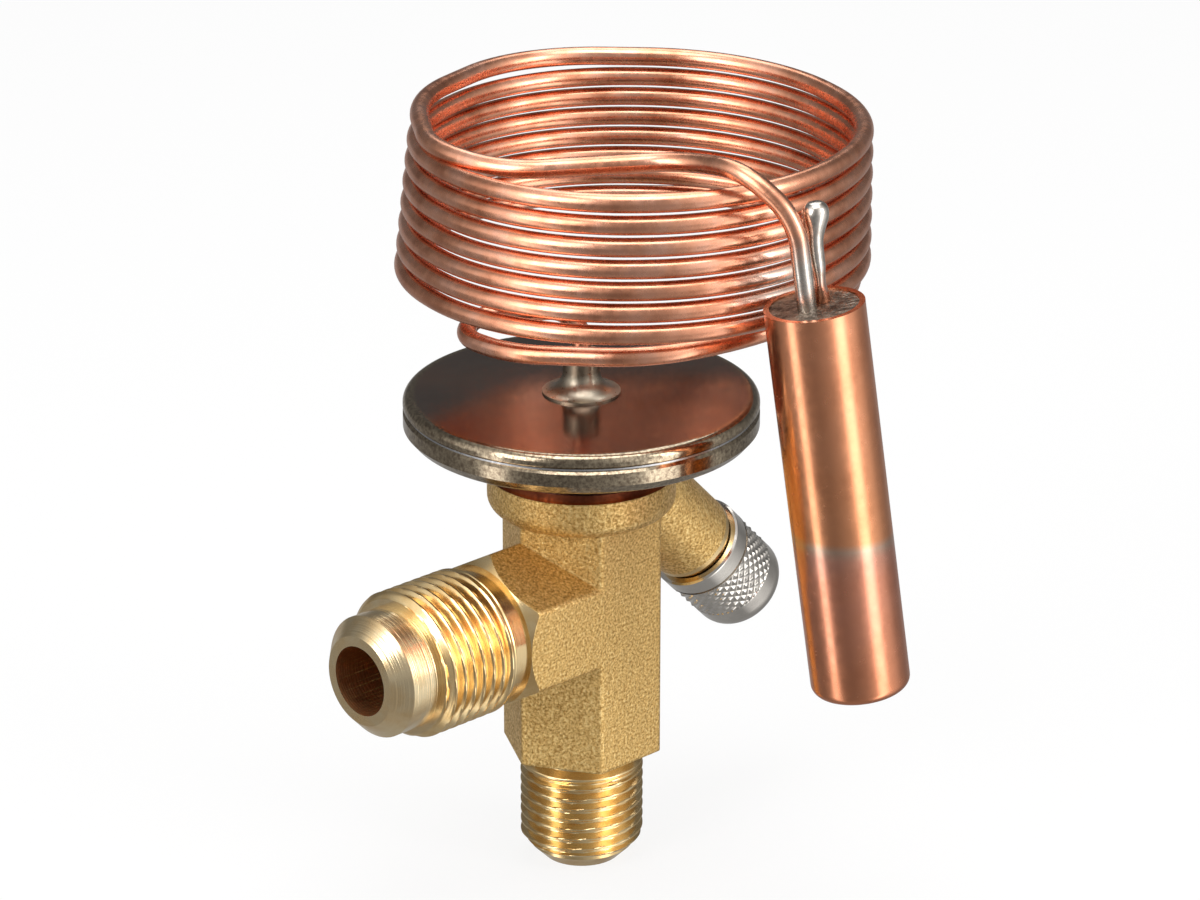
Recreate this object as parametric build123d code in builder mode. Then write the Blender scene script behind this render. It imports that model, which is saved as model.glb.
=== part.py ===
from build123d import *
import os
from math import atan2, cos, degrees, hypot, pi, radians, sin, sqrt, tan

# A thermostatic expansion valve: a forged brass angle body with a flare fitting at the
# bottom and one at the side, a diaphragm head on top, a superheat spindle under a knurled
# cap on a branch at 45 degrees, and a copper capillary coil that carries the sensing bulb.
# Millimetres. +Z runs up the body's axis, the side fitting points along -X, the branch
# leans towards +X, and the origin is the centre of the bottom fitting's end face.

# ------------------------------------------------------------------ driving dimensions
# Clearances
running_gap = 0.05          # a turned fit that moves
cutter_overrun = 1.0        # how far a cut runs past the face that it opens
slot_overrun = 4            # a screwdriver slot is cut this many radii long, so it runs right across
seat_gap = 0.3              # curved faces that only lie near each other
push_gap = 0.02             # a pressed or soldered piece in its hole

# Bottom (inlet) flare fitting, 5/8-18 thread for 3/8 tube
inlet_thread_radius = 7.94
inlet_nose_end_radius = 5.0
inlet_nose_radius = 6.7
inlet_nose_length = 2.4
inlet_thread_chamfer = 0.7
inlet_thread_end = 13.6
inlet_relief_radius = 7.1
inlet_bore_radius = 4.1

# Side (outlet) flare fitting, 3/4-16 thread for 1/2 tube
outlet_reach = 37.7
outlet_thread_radius = 9.525
outlet_nose_end_radius = 5.8
outlet_nose_radius = 7.84
outlet_nose_length = 6.3
outlet_thread_chamfer = 0.8
outlet_thread_end = 17.5
outlet_relief_radius = 8.7
outlet_bore_radius = 4.5
outlet_axis_height = 35.8
outlet_boss_reach = 17.3
outlet_bore_past_axis = 3.0

# Forged body
across_flats = 18.35
column_sides = 6
forged_edge_radius = 0.8
column_base = 15.6
collar_top_above_outlet = 17.6
collar_height = 5.1
collar_radius = 12.0
collar_rounding = 2.2
boss_chamfer = 1.4

# Chambers inside the body
port_radius = 2.6
chamber_radius = 7.6
chamber_depth = 10.9
pin_guide_depth = 2.3
head_socket_depth = 0.65
equalising_hole_radius = 0.5
equalising_hole_offset = 3.6

# Branch for the setting spindle
branch_angle = 45.0
branch_apex_above_collar = 4.6  # where the branch's axis meets the body's axis
branch_radius = 5.85
branch_shoulder = 28.5      # distances along the branch are from the apex
branch_lip = 0.9
spigot_radius = 5.0
spigot_end = 35.8
spindle_bore_radius = 2.95
spindle_bore_start = 10.3
spindle_drill_point = 59.0  # half angle of the drilled end, in degrees
gland_bore_radius = 4.05
gland_bore_start = 24.0

# Bevel gears that set the superheat spring
wheel_teeth = 21
pinion_teeth = 8
wheel_pitch_radius = 6.5
gear_face_width = 1.6
tooth_addendum = 0.28
tooth_dedendum = 0.40
tooth_backlash = 0.14
tooth_flank_angle = 20.0
tooth_gap_overrun = 0.3     # how far each gap's cutter runs past both ends of a tooth

# Push pin, orifice and cone
pin_radius = 1.0
pin_tip_radius = 0.7
pin_step_below_chamber = 3.1
pin_depth_in_pad = 1.5
orifice_height = 8.0
orifice_below_outlet = 6.8
orifice_cavity_radius = 2.9
orifice_seat_depth = 2.0
orifice_hole_radius = 1.3
cone_seat_gap = 0.05
cone_top_radius = 0.9
cone_base_radius = 1.9
cone_pilot_radius = 1.0
cone_pilot_length = 1.0
cone_skirt = 0.8
cone_spring_radius = 1.6
cone_spring_wire = 0.4
cone_spring_turns = 4
retainer_height = 1.0
retainer_hole_radius = 1.2
valve_lift = 0.7

# Strainer under the orifice
strainer_radius = 3.3
strainer_wall = 0.3
strainer_length = 14.0
strainer_cap_height = 0.9
strainer_collar_height = 1.5

# Superheat spring, its seat and the crown wheel
seat_flange_radius = 4.7
seat_flange_height = 1.0
seat_to_wheel_gap = 0.17
seat_stem_radius = 3.4
seat_stem_gap = 0.14
seat_lug_reach = 8.0
seat_lug_width = 2.2
seat_travel = 0.96
spring_radius = 4.05
spring_wire = 0.9
spring_turns = 4

# Diaphragm head
head_radius = 22.5
head_neck_radius = 8.4
head_neck_bore_radius = 7.4
joint_ring_radius = 11.2
joint_ring_height = 0.9
hub_radius = 10.8
hub_height = 2.1
shell_wall = 1.2
dish_height = 2.3
rim_knee_inset = 1.1
rim_knee_rounding = 1.2
knee_height = 1.3
rim_height = 2.0
diaphragm_thickness = 0.25
diaphragm_inset = 0.4
rim_land_width = 2.3
rim_edge_rounding = 0.35
cover_height = 2.0
cover_rounding = 1.1
cover_wall = 1.1
pad_radius = 12.0
pad_thickness = 1.5
pad_hub_radius = 4.9
pad_height = 4.5

# Capillary, its ferrule on the head, the bulb and the fill tube
ferrule_base_radius = 4.95
ferrule_base_edge = 0.25
ferrule_neck_radius = 2.35
ferrule_flare_height = 2.9
ferrule_height = 5.4
ferrule_bore_depth = 3.4
ferrule_hole_radius = 0.5
capillary_radius = 1.2
coil_radius = 28.75
coil_pitch = 2.75
coil_taper = 0.15           # each turn's radius shrinks by this, away from the outlet's side
coil_above_ferrule = 9.4    # the tube's axis at the front of the lowest full turn
coil_offset_side = 6.5
coil_offset_front = -9.0
coil_bearing = -43.7        # plan direction of the coil's side-to-side axis, in degrees
coil_points_per_turn = 6
coil_first_angle = -210.0
coil_last_angle = 2370.0
lead_in_route = (           # side, front and rise above the ferrule's top
    (0.0, 0.0, 5.6),
    (-12.9, -0.2, 4.9),
    (-14.9, 7.6, 4.7),
    (-8.6, 15.0, 5.2),
    (8.0, 19.3, 6.2),
    (20.5, 13.0, 6.4),
    (33.6, 0.8, 7.1),
    (34.9, -17.2, 7.4),
)
lead_out_route = (          # side, front and rise above the lowest full turn
    (-21.2, -15.1, 18.8),
    (-18.6, 2.8, 18.2),
    (-9.5, 9.6, 17.5),
    (12.5, 11.3, 19.4),
    (19.3, 19.5, 20.9),
)
route_slack = 0.45          # share of the shorter run that a free bend uses
coil_slack = 0.485          # the same in the coil, where the runs are nearly all arc
bulb_radius = 6.2
bulb_length = 50.94
bulb_lean = 7.56            # its foot swings away from the body, in degrees
bulb_side = 28.0            # its top in the coil's plan axes, and above the lowest turn
bulb_front = 21.5
bulb_above_coil = 4.6
bulb_rim_wall = 0.7
bulb_recess = 1.6
bulb_bottom_rounding = 1.3
plug_depth = 1.4
fill_tube_radius = 1.05
fill_tube_length = 12.5
fill_bead_radius = 1.55
fill_tube_side = 1.0
fill_tube_back = 1.3
lead_side = -0.9
lead_back = -0.8
lead_drop = 13.0

# Seal cap
cap_radius = 6.42
cap_start = 28.7
cap_end = 42.2
cap_rounding = 2.6
cap_roof = 36.6
cap_relief_radius = 3.4
cap_relief_end = 39.6
cap_groove_start = 31.2
cap_groove_width = 0.35
cap_groove_depth = 0.3
cap_knurl_end = 37.8
cap_knurl_step = 0.12

# Spindle, seal and gland
spindle_radius = 1.6
spindle_thrust_radius = 2.6
spindle_thrust_start = 20.6
spindle_thrust_length = 1.2
spindle_end = 38.8
spindle_slot_depth = 1.2
spindle_slot_width = 0.7
seal_section_radius = 1.05
gland_start = 26.4
gland_end = 34.6
gland_slot_width = 1.2
gland_slot_depth = 1.2
gasket_inner_radius = 3.7

# ------------------------------------------------------------------ derived places
column_radius = across_flats / sqrt(3)
mid_radius_of_seal = (spindle_radius + gland_bore_radius) / 2
rim_knee_radius = head_radius - rim_knee_inset
rim_land_radius = head_radius - rim_land_width
diaphragm_radius = head_radius - diaphragm_inset
collar_top = outlet_axis_height + collar_top_above_outlet
collar_base = collar_top - collar_height
head_socket_floor = collar_top - head_socket_depth
chamber_floor = collar_top - chamber_depth
guide_floor = chamber_floor - pin_guide_depth
branch_apex = collar_top + branch_apex_above_collar
ring_top = collar_top + joint_ring_height
hub_top = ring_top + hub_height
rim_underside = hub_top + dish_height
rim_base = rim_underside + knee_height
diaphragm_height = rim_base + rim_height
cover_top = diaphragm_height + cover_height
pad_base = diaphragm_height - pad_height
pin_top = pad_base + pin_depth_in_pad
pin_step_height = chamber_floor - pin_step_below_chamber
orifice_top = outlet_axis_height - orifice_below_outlet
orifice_base = orifice_top - orifice_height
orifice_seat_height = orifice_top - orifice_seat_depth
strainer_base = orifice_base - strainer_length
ferrule_top = cover_top + ferrule_height
ferrule_bore_floor = ferrule_top - ferrule_bore_depth
coil_height = ferrule_top + coil_above_ferrule
lean = radians(branch_angle)
branch_direction = Vector(sin(lean), 0, -cos(lean))
branch_apex_point = Vector(0, 0, branch_apex)
branch_axis = Axis(branch_apex_point, branch_direction)
outlet_axis = Axis((0, 0, outlet_axis_height), (1, 0, 0))
gear_ratio = wheel_teeth / pinion_teeth
pinion_cone = degrees(atan2(sin(lean), gear_ratio + cos(lean)))
wheel_cone = branch_angle - pinion_cone
pinion_pitch_radius = wheel_pitch_radius / gear_ratio
cone_distance = wheel_pitch_radius / sin(radians(wheel_cone))
bearing = radians(coil_bearing)
wheel_top_distance = cone_distance - gear_face_width
wheel_top = (
    branch_apex
    - wheel_top_distance * cos(radians(wheel_cone))
    + tooth_addendum * sin(radians(wheel_cone)) * wheel_top_distance / cone_distance
)
seat_flange_base = wheel_top + seat_travel + seat_to_wheel_gap
seat_stem_base = chamber_floor + seat_travel + seat_stem_gap


# ------------------------------------------------------------------ helpers
def turn(points, axis=Axis.Z, mode=Mode.ADD, rounded=()):
    """Revolve a closed XZ outline about an axis in its plane; rounded lists (corner, radius)."""
    with BuildSketch(Plane.XZ) as outline:
        with BuildLine():
            Polyline(*points, close=True)
        make_face()
        for corner, radius in rounded:
            fillet(outline.vertices().sort_by_distance(corner)[0], radius)
    revolve(outline.sketch, axis=axis, mode=mode)


def outlet_points(points):
    """Turn (distance from the fitting's end, radius) pairs into XZ points."""
    return [(along - outlet_reach, outlet_axis_height + radius) for along, radius in points]


def branch_points(points):
    """Turn (distance along the branch, radius) pairs into XZ points above its axis."""
    return [
        (along * sin(lean) + radius * cos(lean), branch_apex - along * cos(lean) + radius * sin(lean))
        for along, radius in points
    ]


def bar(start, end, radius):
    """The outline of a plain cylinder between two distances along an axis."""
    return [(start, 0), (start, radius), (end, radius), (end, 0)]


def tube_outline(start, end, inner, outer):
    """The outline of a plain tube between two distances along an axis."""
    return [(start, inner), (start, outer), (end, outer), (end, inner)]


def upright(points):
    """Swap (height, radius) pairs into (radius, height) points for the Z axis."""
    return [(radius, height) for height, radius in points]


def flare_fitting(end_radius, nose_radius, nose_length, thread_radius, chamfer,
                  thread_end, relief_radius, body_start):
    """Outline of a male flare fitting: 45 degree nose, plain nose, thread and relief."""
    return [
        (0, 0),
        (0, end_radius),
        (nose_radius - end_radius, nose_radius),
        (nose_length, nose_radius),
        (nose_length, thread_radius - chamfer),
        (nose_length + chamfer, thread_radius),
        (thread_end, thread_radius),
        (thread_end + thread_radius - relief_radius, relief_radius),
        (body_start, relief_radius),
        (body_start, 0),
    ]


def coil_point(side, front, height):
    """A point from the coil's own plan axes: sideways, towards the bulb's side, and up."""
    return Vector(
        side * cos(bearing) + front * sin(bearing),
        side * sin(bearing) - front * cos(bearing),
        height,
    )


def arc_radii(points, slack_of):
    """The fillet radius at each corner of a route, from its shorter run and its turn."""
    radii = []
    for index in range(1, len(points) - 1):
        before = points[index] - points[index - 1]
        after = points[index + 1] - points[index]
        half_turn = radians(before.get_angle(after)) / 2
        shorter = min(before.length, after.length)
        radii.append(slack_of(index) * shorter / tan(half_turn))
    return radii


def gear_gap(cone_angle, teeth, pitch_radius, axis_direction, side_direction):
    """The wedge between two teeth of a bevel gear whose cone's tip is the branch's apex."""
    cone = radians(cone_angle)
    along = axis_direction * cos(cone) + side_direction * sin(cone)
    outward = side_direction * cos(cone) - axis_direction * sin(cone)
    across = outward.cross(along)
    gap = pi * pitch_radius / teeth + tooth_backlash
    flank = tan(radians(tooth_flank_angle))
    over = 2 * tooth_addendum
    with BuildPart() as wedge:
        for depth in (-tooth_gap_overrun, gear_face_width + tooth_gap_overrun):
            share = 1 - depth / cone_distance
            section = Plane(
                origin=branch_apex_point + along * cone_distance * share, x_dir=across, z_dir=along
            )
            narrow = (gap / 2 - tooth_dedendum * flank) * share
            wide = (gap / 2 + over * flank) * share
            with BuildSketch(section):
                with BuildLine():
                    Polyline(
                        (-narrow, -tooth_dedendum * share),
                        (narrow, -tooth_dedendum * share),
                        (wide, over * share),
                        (-wide, over * share),
                        close=True,
                    )
                make_face()
        loft(ruled=True)
    return wedge.part


def gear_blank(cone_angle):
    """Cone (distance along the gear's axis from the apex, radius) of tips and roots."""
    cone = radians(cone_angle)
    rim = []
    for distance in (cone_distance, cone_distance - gear_face_width):
        share = distance / cone_distance
        for height in (-tooth_dedendum * share, tooth_addendum * share):
            rim.append((
                distance * cos(cone) - height * sin(cone),
                distance * sin(cone) + height * cos(cone),
            ))
    return rim


def finish(piece, name):
    """Label a finished piece and write it."""
    piece.part.label = name
    export_step(piece.part, f"parts/{name}.step")


os.makedirs("parts", exist_ok=True)

# ------------------------------------------------------------------ valve body
inlet_outline = flare_fitting(
    inlet_nose_end_radius, inlet_nose_radius, inlet_nose_length, inlet_thread_radius,
    inlet_thread_chamfer, inlet_thread_end, inlet_relief_radius, column_base,
)
outlet_outline = flare_fitting(
    outlet_nose_end_radius, outlet_nose_radius, outlet_nose_length, outlet_thread_radius,
    outlet_thread_chamfer, outlet_thread_end, outlet_relief_radius, outlet_reach - outlet_boss_reach,
)
boss_plane = Plane(origin=(0, 0, outlet_axis_height), x_dir=(0, 1, 0), z_dir=(-1, 0, 0))
boss_rim = outlet_reach - outlet_boss_reach

with BuildPart() as outlet_boss:
    with BuildSketch(boss_plane):
        RegularPolygon(radius=column_radius, side_count=column_sides, rotation=90)
    extrude(amount=outlet_boss_reach)
    fillet(outlet_boss.edges().filter_by(Axis.X), radius=forged_edge_radius)
    turn(outlet_points([
        (boss_rim, 0),
        (boss_rim, across_flats / 2),
        (boss_rim + boss_chamfer, across_flats / 2 + boss_chamfer),
        (outlet_reach + cutter_overrun, across_flats),
        (outlet_reach + cutter_overrun, 0),
    ]), outlet_axis, Mode.INTERSECT)

with BuildPart() as valve_body:
    # Hexagonal column with rounded forged edges
    with BuildSketch(Plane.XY.offset(column_base)):
        RegularPolygon(radius=column_radius, side_count=column_sides)
    extrude(amount=collar_base - column_base + collar_rounding)
    fillet(valve_body.edges().filter_by(Axis.Z), radius=forged_edge_radius)
    add(outlet_boss.part)
    # Round collar under the head
    turn(
        [(0, collar_base), (collar_radius, collar_base), (collar_radius, collar_top), (0, collar_top)],
        rounded=[((collar_radius, collar_base), collar_rounding)],
    )
    # Branch for the setting spindle
    turn(branch_points([
        (spindle_bore_start, 0),
        (spindle_bore_start, branch_radius),
        (branch_shoulder - branch_lip, branch_radius),
        (branch_shoulder, branch_radius - branch_lip / 2),
        (branch_shoulder, spigot_radius),
        (spigot_end, spigot_radius),
        (spigot_end, 0),
    ]), branch_axis)
    turn(upright(bar(collar_top, branch_apex, 2 * collar_radius)), mode=Mode.SUBTRACT)
    # Machined fittings
    turn(upright(inlet_outline))
    turn(outlet_points(outlet_outline), outlet_axis)
    # Bores from below, from the side and from the top
    turn(upright(bar(-1, orifice_top, inlet_bore_radius)), mode=Mode.SUBTRACT)
    turn(upright(bar(orifice_top, outlet_axis_height, port_radius)), mode=Mode.SUBTRACT)
    turn(
        outlet_points(bar(-1, outlet_reach + outlet_bore_past_axis, outlet_bore_radius)),
        outlet_axis, Mode.SUBTRACT,
    )
    turn(
        upright(bar(guide_floor - cutter_overrun, chamber_floor, pin_radius + running_gap)),
        mode=Mode.SUBTRACT,
    )
    turn(upright(bar(chamber_floor, collar_top, chamber_radius)), mode=Mode.SUBTRACT)
    turn(
        upright(bar(head_socket_floor, collar_top + cutter_overrun, head_neck_radius + running_gap)),
        mode=Mode.SUBTRACT,
    )
    # Slots that stop the spring seat from turning
    with BuildSketch(Plane.XY.offset(seat_flange_base - seat_travel - seat_gap)):
        Rectangle(seat_lug_width + 2 * running_gap, 2 * (seat_lug_reach + seat_gap / 2))
    extrude(amount=head_socket_floor - seat_flange_base + seat_travel + seat_gap, mode=Mode.SUBTRACT)
    # Equalising hole beside the push pin
    with BuildSketch(Plane.XY.offset(outlet_axis_height)):
        with Locations((-equalising_hole_offset, 0)):
            Circle(equalising_hole_radius)
    extrude(amount=chamber_floor - outlet_axis_height, mode=Mode.SUBTRACT)
    # Stepped bore of the branch
    drill_tip = spindle_bore_start - spindle_bore_radius / tan(radians(spindle_drill_point))
    turn(branch_points([
        (drill_tip, 0),
        (spindle_bore_start, spindle_bore_radius),
        (spigot_end, spindle_bore_radius),
        (spigot_end, 0),
    ]), branch_axis, Mode.SUBTRACT)
    turn(
        branch_points(bar(gland_bore_start, spigot_end + cutter_overrun, gland_bore_radius)),
        branch_axis, Mode.SUBTRACT,
    )
finish(valve_body, "valve_body")

# ------------------------------------------------------------------ orifice and strainer
with BuildPart() as orifice_body:
    outer = inlet_bore_radius - running_gap
    turn([
        (orifice_cavity_radius, orifice_base),
        (outer, orifice_base),
        (outer, orifice_top),
        (orifice_hole_radius, orifice_top),
        (orifice_hole_radius, orifice_seat_height),
        (orifice_cavity_radius, orifice_seat_height),
    ])
finish(orifice_body, "orifice_body")

cone_height = cone_base_radius - cone_top_radius
cone_top = orifice_seat_height - cone_seat_gap + orifice_hole_radius - cone_top_radius
cone_base = cone_top - cone_height
pilot_top = cone_base - cone_skirt
with BuildPart() as valve_cone:
    turn([
        (0, cone_top),
        (cone_top_radius, cone_top),
        (cone_base_radius, cone_base),
        (cone_base_radius, pilot_top),
        (cone_pilot_radius, pilot_top),
        (cone_pilot_radius, pilot_top - cone_pilot_length),
        (0, pilot_top - cone_pilot_length),
    ])
finish(valve_cone, "valve_cone")

retainer_top = orifice_base + retainer_height
with BuildPart() as cone_spring:
    rise = pilot_top - retainer_top - cone_spring_wire
    with BuildLine(Plane.XY.offset(retainer_top + cone_spring_wire / 2)) as cone_spring_line:
        Helix(rise / cone_spring_turns, rise, cone_spring_radius)
    with BuildSketch(Plane(origin=cone_spring_line.line @ 0, z_dir=cone_spring_line.line % 0)):
        Circle(cone_spring_wire / 2)
    sweep(path=cone_spring_line.line, is_frenet=True)
finish(cone_spring, "cone_spring")

with BuildPart() as spring_retainer:
    turn(upright(tube_outline(
        orifice_base, retainer_top, retainer_hole_radius, orifice_cavity_radius - push_gap
    )))
finish(spring_retainer, "spring_retainer")

strainer_top = orifice_base - strainer_collar_height
with BuildPart() as strainer_collar:
    turn(upright(tube_outline(
        strainer_top, orifice_base, strainer_radius - 2 * strainer_wall, inlet_bore_radius - running_gap
    )))
finish(strainer_collar, "strainer_collar")

with BuildPart() as strainer_mesh:
    turn(upright(tube_outline(
        strainer_base + strainer_cap_height, strainer_top,
        strainer_radius - strainer_wall, strainer_radius,
    )))
finish(strainer_mesh, "strainer_mesh")

with BuildPart() as strainer_end:
    turn(upright(bar(strainer_base, strainer_base + strainer_cap_height, strainer_radius)))
finish(strainer_end, "strainer_end")

# ------------------------------------------------------------------ push pin and spring
with BuildPart() as push_pin:
    turn([
        (0, cone_top),
        (pin_tip_radius, cone_top),
        (pin_tip_radius, pin_step_height),
        (pin_radius, pin_step_height),
        (pin_radius, pin_top),
        (0, pin_top),
    ])
finish(push_pin, "push_pin")

# The crown wheel's teeth lie on a cone whose tip is the branch's apex
wheel_axis = Vector(0, 0, -1)
wheel_side = Vector(1, 0, 0)
large_root, large_tip, small_root, small_tip = [
    (radius, branch_apex - along) for along, radius in gear_blank(wheel_cone)
]
with BuildPart() as crown_wheel:
    turn([
        (seat_stem_radius + running_gap, chamber_floor),
        (large_root[0] - seat_gap, chamber_floor),
        (large_root[0] - seat_gap, large_root[1] - seat_gap),
        large_tip,
        small_tip,
        small_root,
        (seat_stem_radius + running_gap, small_root[1]),
    ])
    wheel_gap = gear_gap(wheel_cone, wheel_teeth, wheel_pitch_radius, wheel_axis, wheel_side)
    for tooth in range(wheel_teeth):
        add(wheel_gap.rotate(Axis.Z, tooth * 360 / wheel_teeth), mode=Mode.SUBTRACT)
finish(crown_wheel, "crown_wheel")

spring_base = seat_flange_base + seat_flange_height
with BuildPart() as spring_seat:
    turn([
        (pin_radius + seat_gap, seat_stem_base),
        (seat_stem_radius, seat_stem_base),
        (seat_stem_radius, seat_flange_base),
        (seat_flange_radius, seat_flange_base),
        (seat_flange_radius, spring_base),
        (pin_radius + seat_gap, spring_base),
    ])
    with BuildSketch(Plane.XY.offset(seat_flange_base)):
        Rectangle(seat_lug_width, 2 * seat_lug_reach)
        Circle(seat_stem_radius, mode=Mode.SUBTRACT)
    extrude(amount=seat_flange_height)
finish(spring_seat, "spring_seat")

with BuildPart() as superheat_spring:
    rise = pad_base - spring_base - spring_wire
    with BuildLine(Plane.XY.offset(spring_base + spring_wire / 2)) as spring_line:
        Helix(rise / spring_turns, rise, spring_radius)
    with BuildSketch(Plane(origin=spring_line.line @ 0, z_dir=spring_line.line % 0)):
        Circle(spring_wire / 2)
    sweep(path=spring_line.line, is_frenet=True)
finish(superheat_spring, "superheat_spring")

# ------------------------------------------------------------------ diaphragm head
with BuildPart() as pressure_pad:
    turn([
        (pin_radius + push_gap, pad_base),
        (pad_hub_radius, pad_base),
        (pad_hub_radius, diaphragm_height - 2 * pad_thickness),
        (pad_radius, diaphragm_height - pad_thickness),
        (pad_radius, diaphragm_height),
        (0, diaphragm_height),
        (0, pin_top),
        (pin_radius + push_gap, pin_top),
    ])
finish(pressure_pad, "pressure_pad")

with BuildPart() as diaphragm:
    turn(upright(bar(diaphragm_height, diaphragm_height + diaphragm_thickness, diaphragm_radius)))
finish(diaphragm, "diaphragm")

with BuildPart() as joint_ring:
    turn(upright(tube_outline(
        collar_top, ring_top, head_neck_radius + push_gap, joint_ring_radius
    )))
finish(joint_ring, "joint_ring")

with BuildPart() as head_base:
    turn(
        [
            (head_neck_bore_radius, head_socket_floor),
            (head_neck_radius, head_socket_floor),
            (head_neck_radius, ring_top),
            (hub_radius, ring_top),
            (hub_radius, hub_top),
            (rim_knee_radius, rim_underside),
            (head_radius, rim_base),
            (head_radius, diaphragm_height - rim_edge_rounding),
            (head_radius - rim_edge_rounding, diaphragm_height),
            (rim_land_radius, diaphragm_height),
            (rim_land_radius, rim_base + shell_wall / 2),
            (hub_radius, hub_top + shell_wall),
            (head_neck_bore_radius, hub_top + shell_wall),
        ],
        rounded=[((rim_knee_radius, rim_underside), rim_knee_rounding)],
    )
finish(head_base, "head_base")

cover_base = diaphragm_height + diaphragm_thickness
cover_ceiling = cover_top - cover_wall
with BuildPart() as head_cover:
    turn(
        [
            (ferrule_neck_radius + push_gap, cover_ceiling),
            (rim_land_radius, cover_ceiling),
            (rim_land_radius, cover_base),
            (head_radius - rim_edge_rounding, cover_base),
            (head_radius, cover_base + rim_edge_rounding),
            (head_radius, cover_top),
            (ferrule_neck_radius + push_gap, cover_top),
        ],
        rounded=[((head_radius, cover_top), cover_rounding)],
    )
finish(head_cover, "head_cover")

flare_top = cover_top + ferrule_flare_height
base_edge_top = cover_top + ferrule_base_edge
with BuildPart() as capillary_ferrule:
    with BuildSketch(Plane.XZ) as ferrule_outline:
        with BuildLine():
            Polyline(
                (ferrule_neck_radius, flare_top),
                (ferrule_neck_radius, ferrule_top),
                (capillary_radius + push_gap, ferrule_top),
                (capillary_radius + push_gap, ferrule_bore_floor),
                (ferrule_hole_radius, ferrule_bore_floor),
                (ferrule_hole_radius, cover_ceiling),
                (ferrule_neck_radius, cover_ceiling),
                (ferrule_neck_radius, cover_top),
                (ferrule_base_radius, cover_top),
                (ferrule_base_radius, base_edge_top),
            )
            TangentArc(
                (ferrule_neck_radius, flare_top), (ferrule_base_radius, base_edge_top), tangent=(0, -1)
            )
        make_face()
    revolve(axis=Axis.Z)
finish(capillary_ferrule, "capillary_ferrule")

# ------------------------------------------------------------------ bulb
bulb_head = coil_point(bulb_side, bulb_front, coil_height + bulb_above_coil)
bulb_up = coil_point(-sin(radians(bulb_lean)), 0, cos(radians(bulb_lean)))
bulb_foot = bulb_head - bulb_up * bulb_length
bulb_across = bulb_up.cross(coil_point(0, 1, 0)).normalized()
bulb_base_plane = Plane(origin=bulb_foot, x_dir=bulb_across, z_dir=bulb_up)
bulb_recess_plane = Plane(
    origin=bulb_head - bulb_up * bulb_recess, x_dir=bulb_across, z_dir=bulb_up
)
bulb_recess_radius = bulb_radius - bulb_rim_wall
plug_top = bulb_head - bulb_up * (bulb_recess - plug_depth)

with BuildPart() as bulb:
    with BuildSketch(bulb_base_plane):
        Circle(bulb_radius)
    extrude(amount=bulb_length)
    fillet(bulb.edges().sort_by(Axis.Z)[0], radius=bulb_bottom_rounding)
    with BuildSketch(bulb_recess_plane):
        Circle(bulb_recess_radius)
    extrude(amount=2 * bulb_recess, mode=Mode.SUBTRACT)
finish(bulb, "bulb")

with BuildPart() as bulb_plug:
    with BuildSketch(bulb_recess_plane):
        Circle(bulb_recess_radius - push_gap)
        with Locations((lead_side, lead_back)):
            Circle(capillary_radius + push_gap, mode=Mode.SUBTRACT)
        with Locations((fill_tube_side, fill_tube_back)):
            Circle(fill_tube_radius + push_gap, mode=Mode.SUBTRACT)
    extrude(amount=plug_depth)
finish(bulb_plug, "bulb_plug")

with BuildPart() as fill_tube:
    fill_foot = bulb_recess_plane.from_local_coords((fill_tube_side, fill_tube_back, 0))
    fill_plane = Plane(origin=fill_foot, x_dir=bulb_across, z_dir=bulb_up)
    with BuildSketch(fill_plane):
        Circle(fill_tube_radius)
    extrude(amount=fill_tube_length)
    with Locations(Location(fill_foot + bulb_up * fill_tube_length)):
        Sphere(fill_bead_radius)
finish(fill_tube, "fill_tube")

# ------------------------------------------------------------------ capillary
lead_end = bulb_recess_plane.from_local_coords((lead_side, lead_back, push_gap))
def turn_point(angle, reach=1.0):
    """A corner of the many-sided coil: angle runs from the lowest turn's front, to the right."""
    turns = angle / 360
    radius = (coil_radius - coil_taper * turns) * reach
    return coil_point(
        coil_offset_side + coil_taper * turns + radius * sin(radians(angle)),
        coil_offset_front + radius * cos(radians(angle)),
        coil_height + coil_pitch * turns,
    )


# From the ferrule the tube bends to one side, sweeps round the front and rises into the coil
lead_in = [coil_point(0, 0, ferrule_bore_floor)]
lead_in += [coil_point(side, front, ferrule_top + rise) for side, front, rise in lead_in_route]
coil_step = 360 / coil_points_per_turn
coil_corners = round((coil_last_angle - coil_first_angle) / coil_step) + 1
coil_corner = 1 / cos(radians(coil_step / 2))
coil = [turn_point(coil_first_angle + step * coil_step, coil_corner) for step in range(coil_corners)]
# Off the top turn it crosses the coil's middle, clears the front turns and drops to the bulb
lead_out = [coil_point(side, front, coil_height + rise) for side, front, rise in lead_out_route]
lead_out += [
    lead_end + bulb_up * lead_drop,
    lead_end,
]
route = lead_in + coil + lead_out
coil_start = len(lead_in)


def slack_of(index):
    """Coil corners use nearly the whole run; free bends leave a short straight between."""
    in_coil = coil_start < index < coil_start + len(coil) - 1
    return coil_slack if in_coil else route_slack


with BuildPart() as capillary_tube:
    with BuildLine() as capillary_route:
        FilletPolyline(*route, radius=arc_radii(route, slack_of))
    with BuildSketch(Plane(origin=capillary_route.line @ 0, z_dir=capillary_route.line % 0)):
        Circle(capillary_radius)
    sweep(path=capillary_route.line, transition=Transition.ROUND)
finish(capillary_tube, "capillary_tube")

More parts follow.
